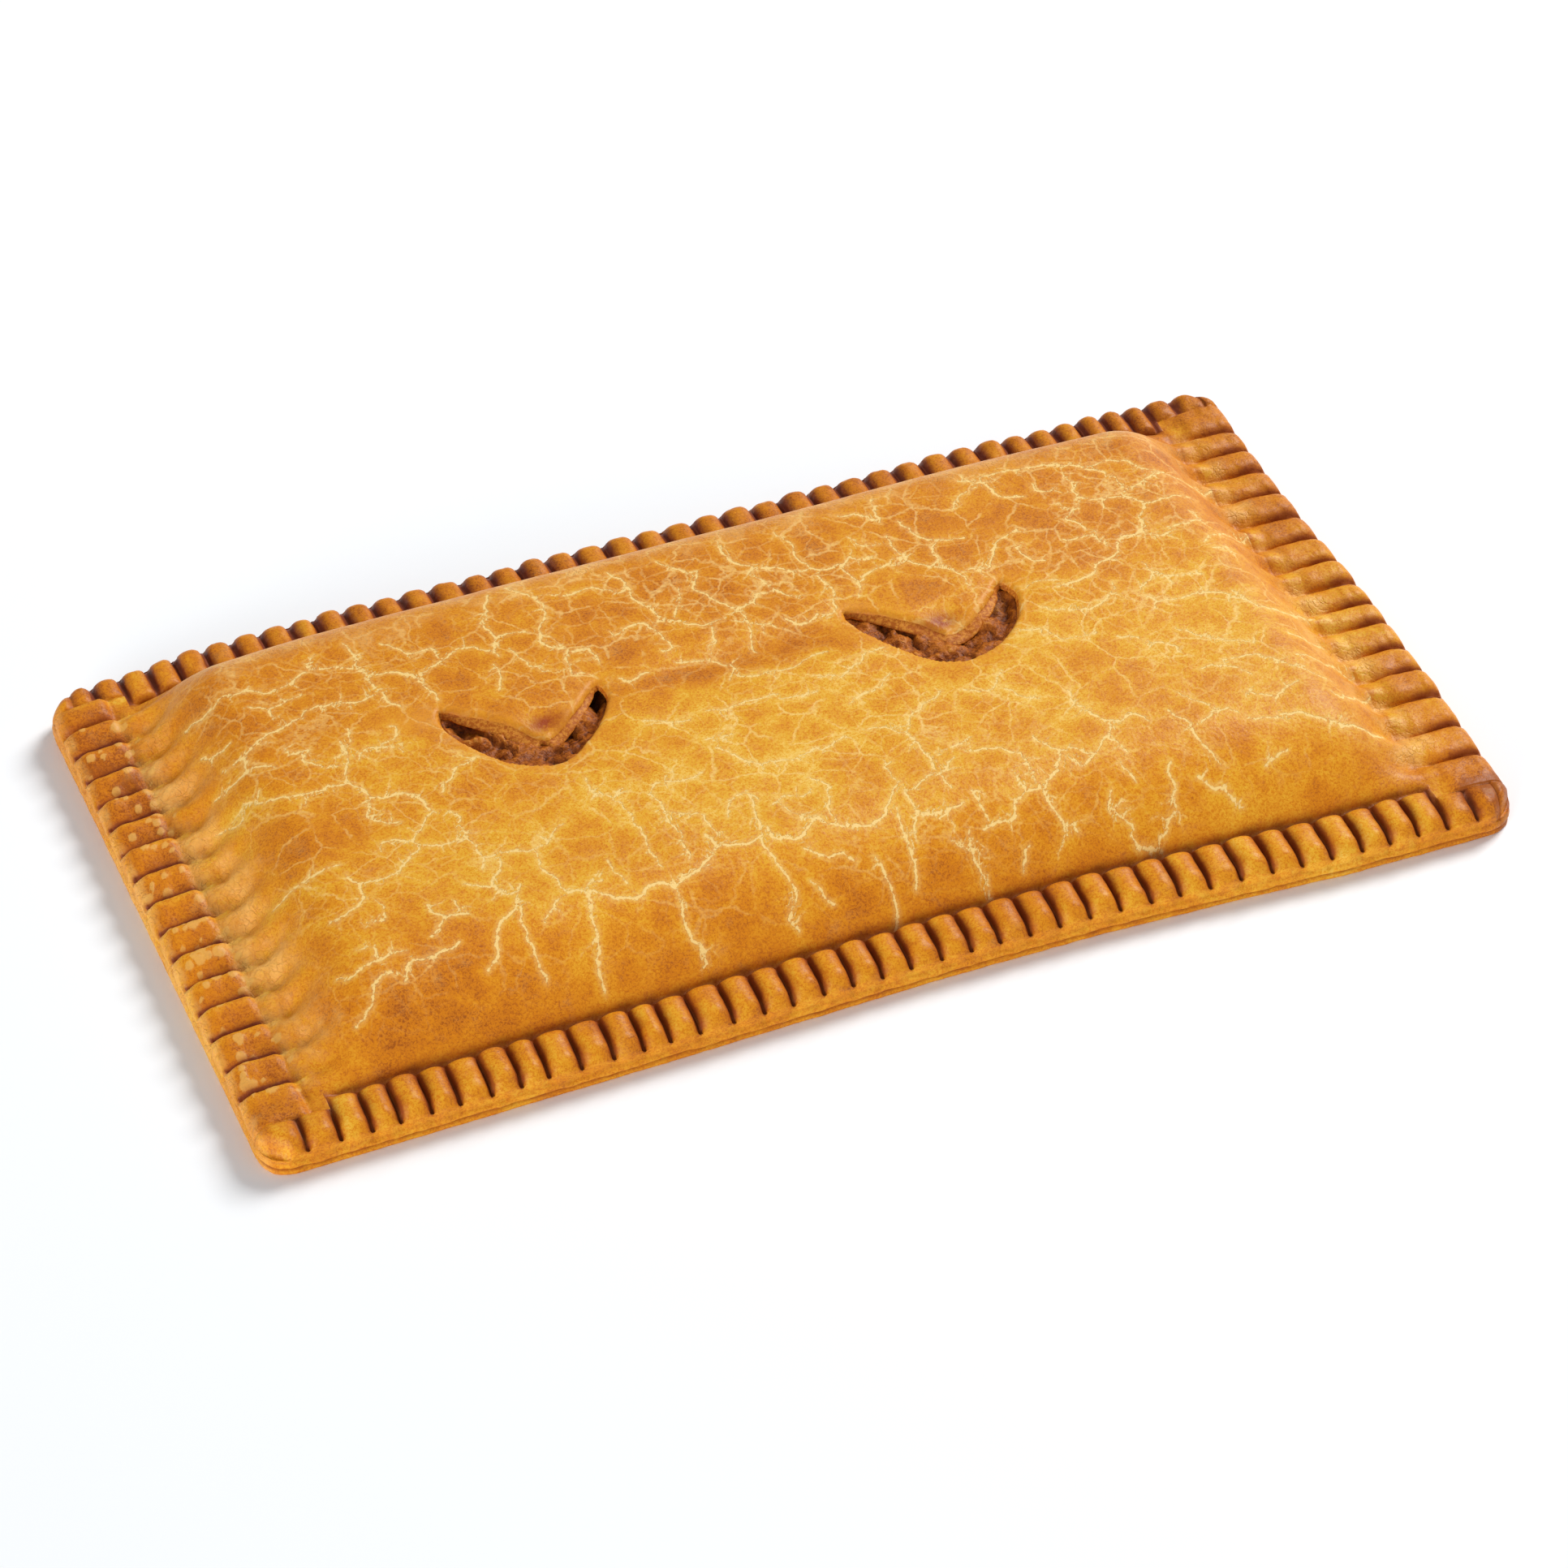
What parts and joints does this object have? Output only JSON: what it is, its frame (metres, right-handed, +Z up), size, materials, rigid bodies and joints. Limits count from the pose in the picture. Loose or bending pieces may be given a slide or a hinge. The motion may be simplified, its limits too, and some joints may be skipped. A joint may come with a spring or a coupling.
{
  "type": "empanada",
  "caption": "Flat rectangular baked empanada with a pinched, ridged rim, a domed cracked lid and V-shaped steam vents that show the filling.",
  "frame": {"origin": "centre of the underside, on the surface the empanada rests on", "axes": "+X along the long side, +Y across to the side away from the viewer, +Z up out of the lid"},
  "size_m": [0.2608, 0.1454, 0.0211],
  "materials": {
    "baked_pastry": "satin golden-brown baked dough",
    "moist_filling": "moist brown filling"
  },
  "bodies": {
    "root": {"crust": "baked_pastry", "filling": "moist_filling"}
  },
  "joints": []
}
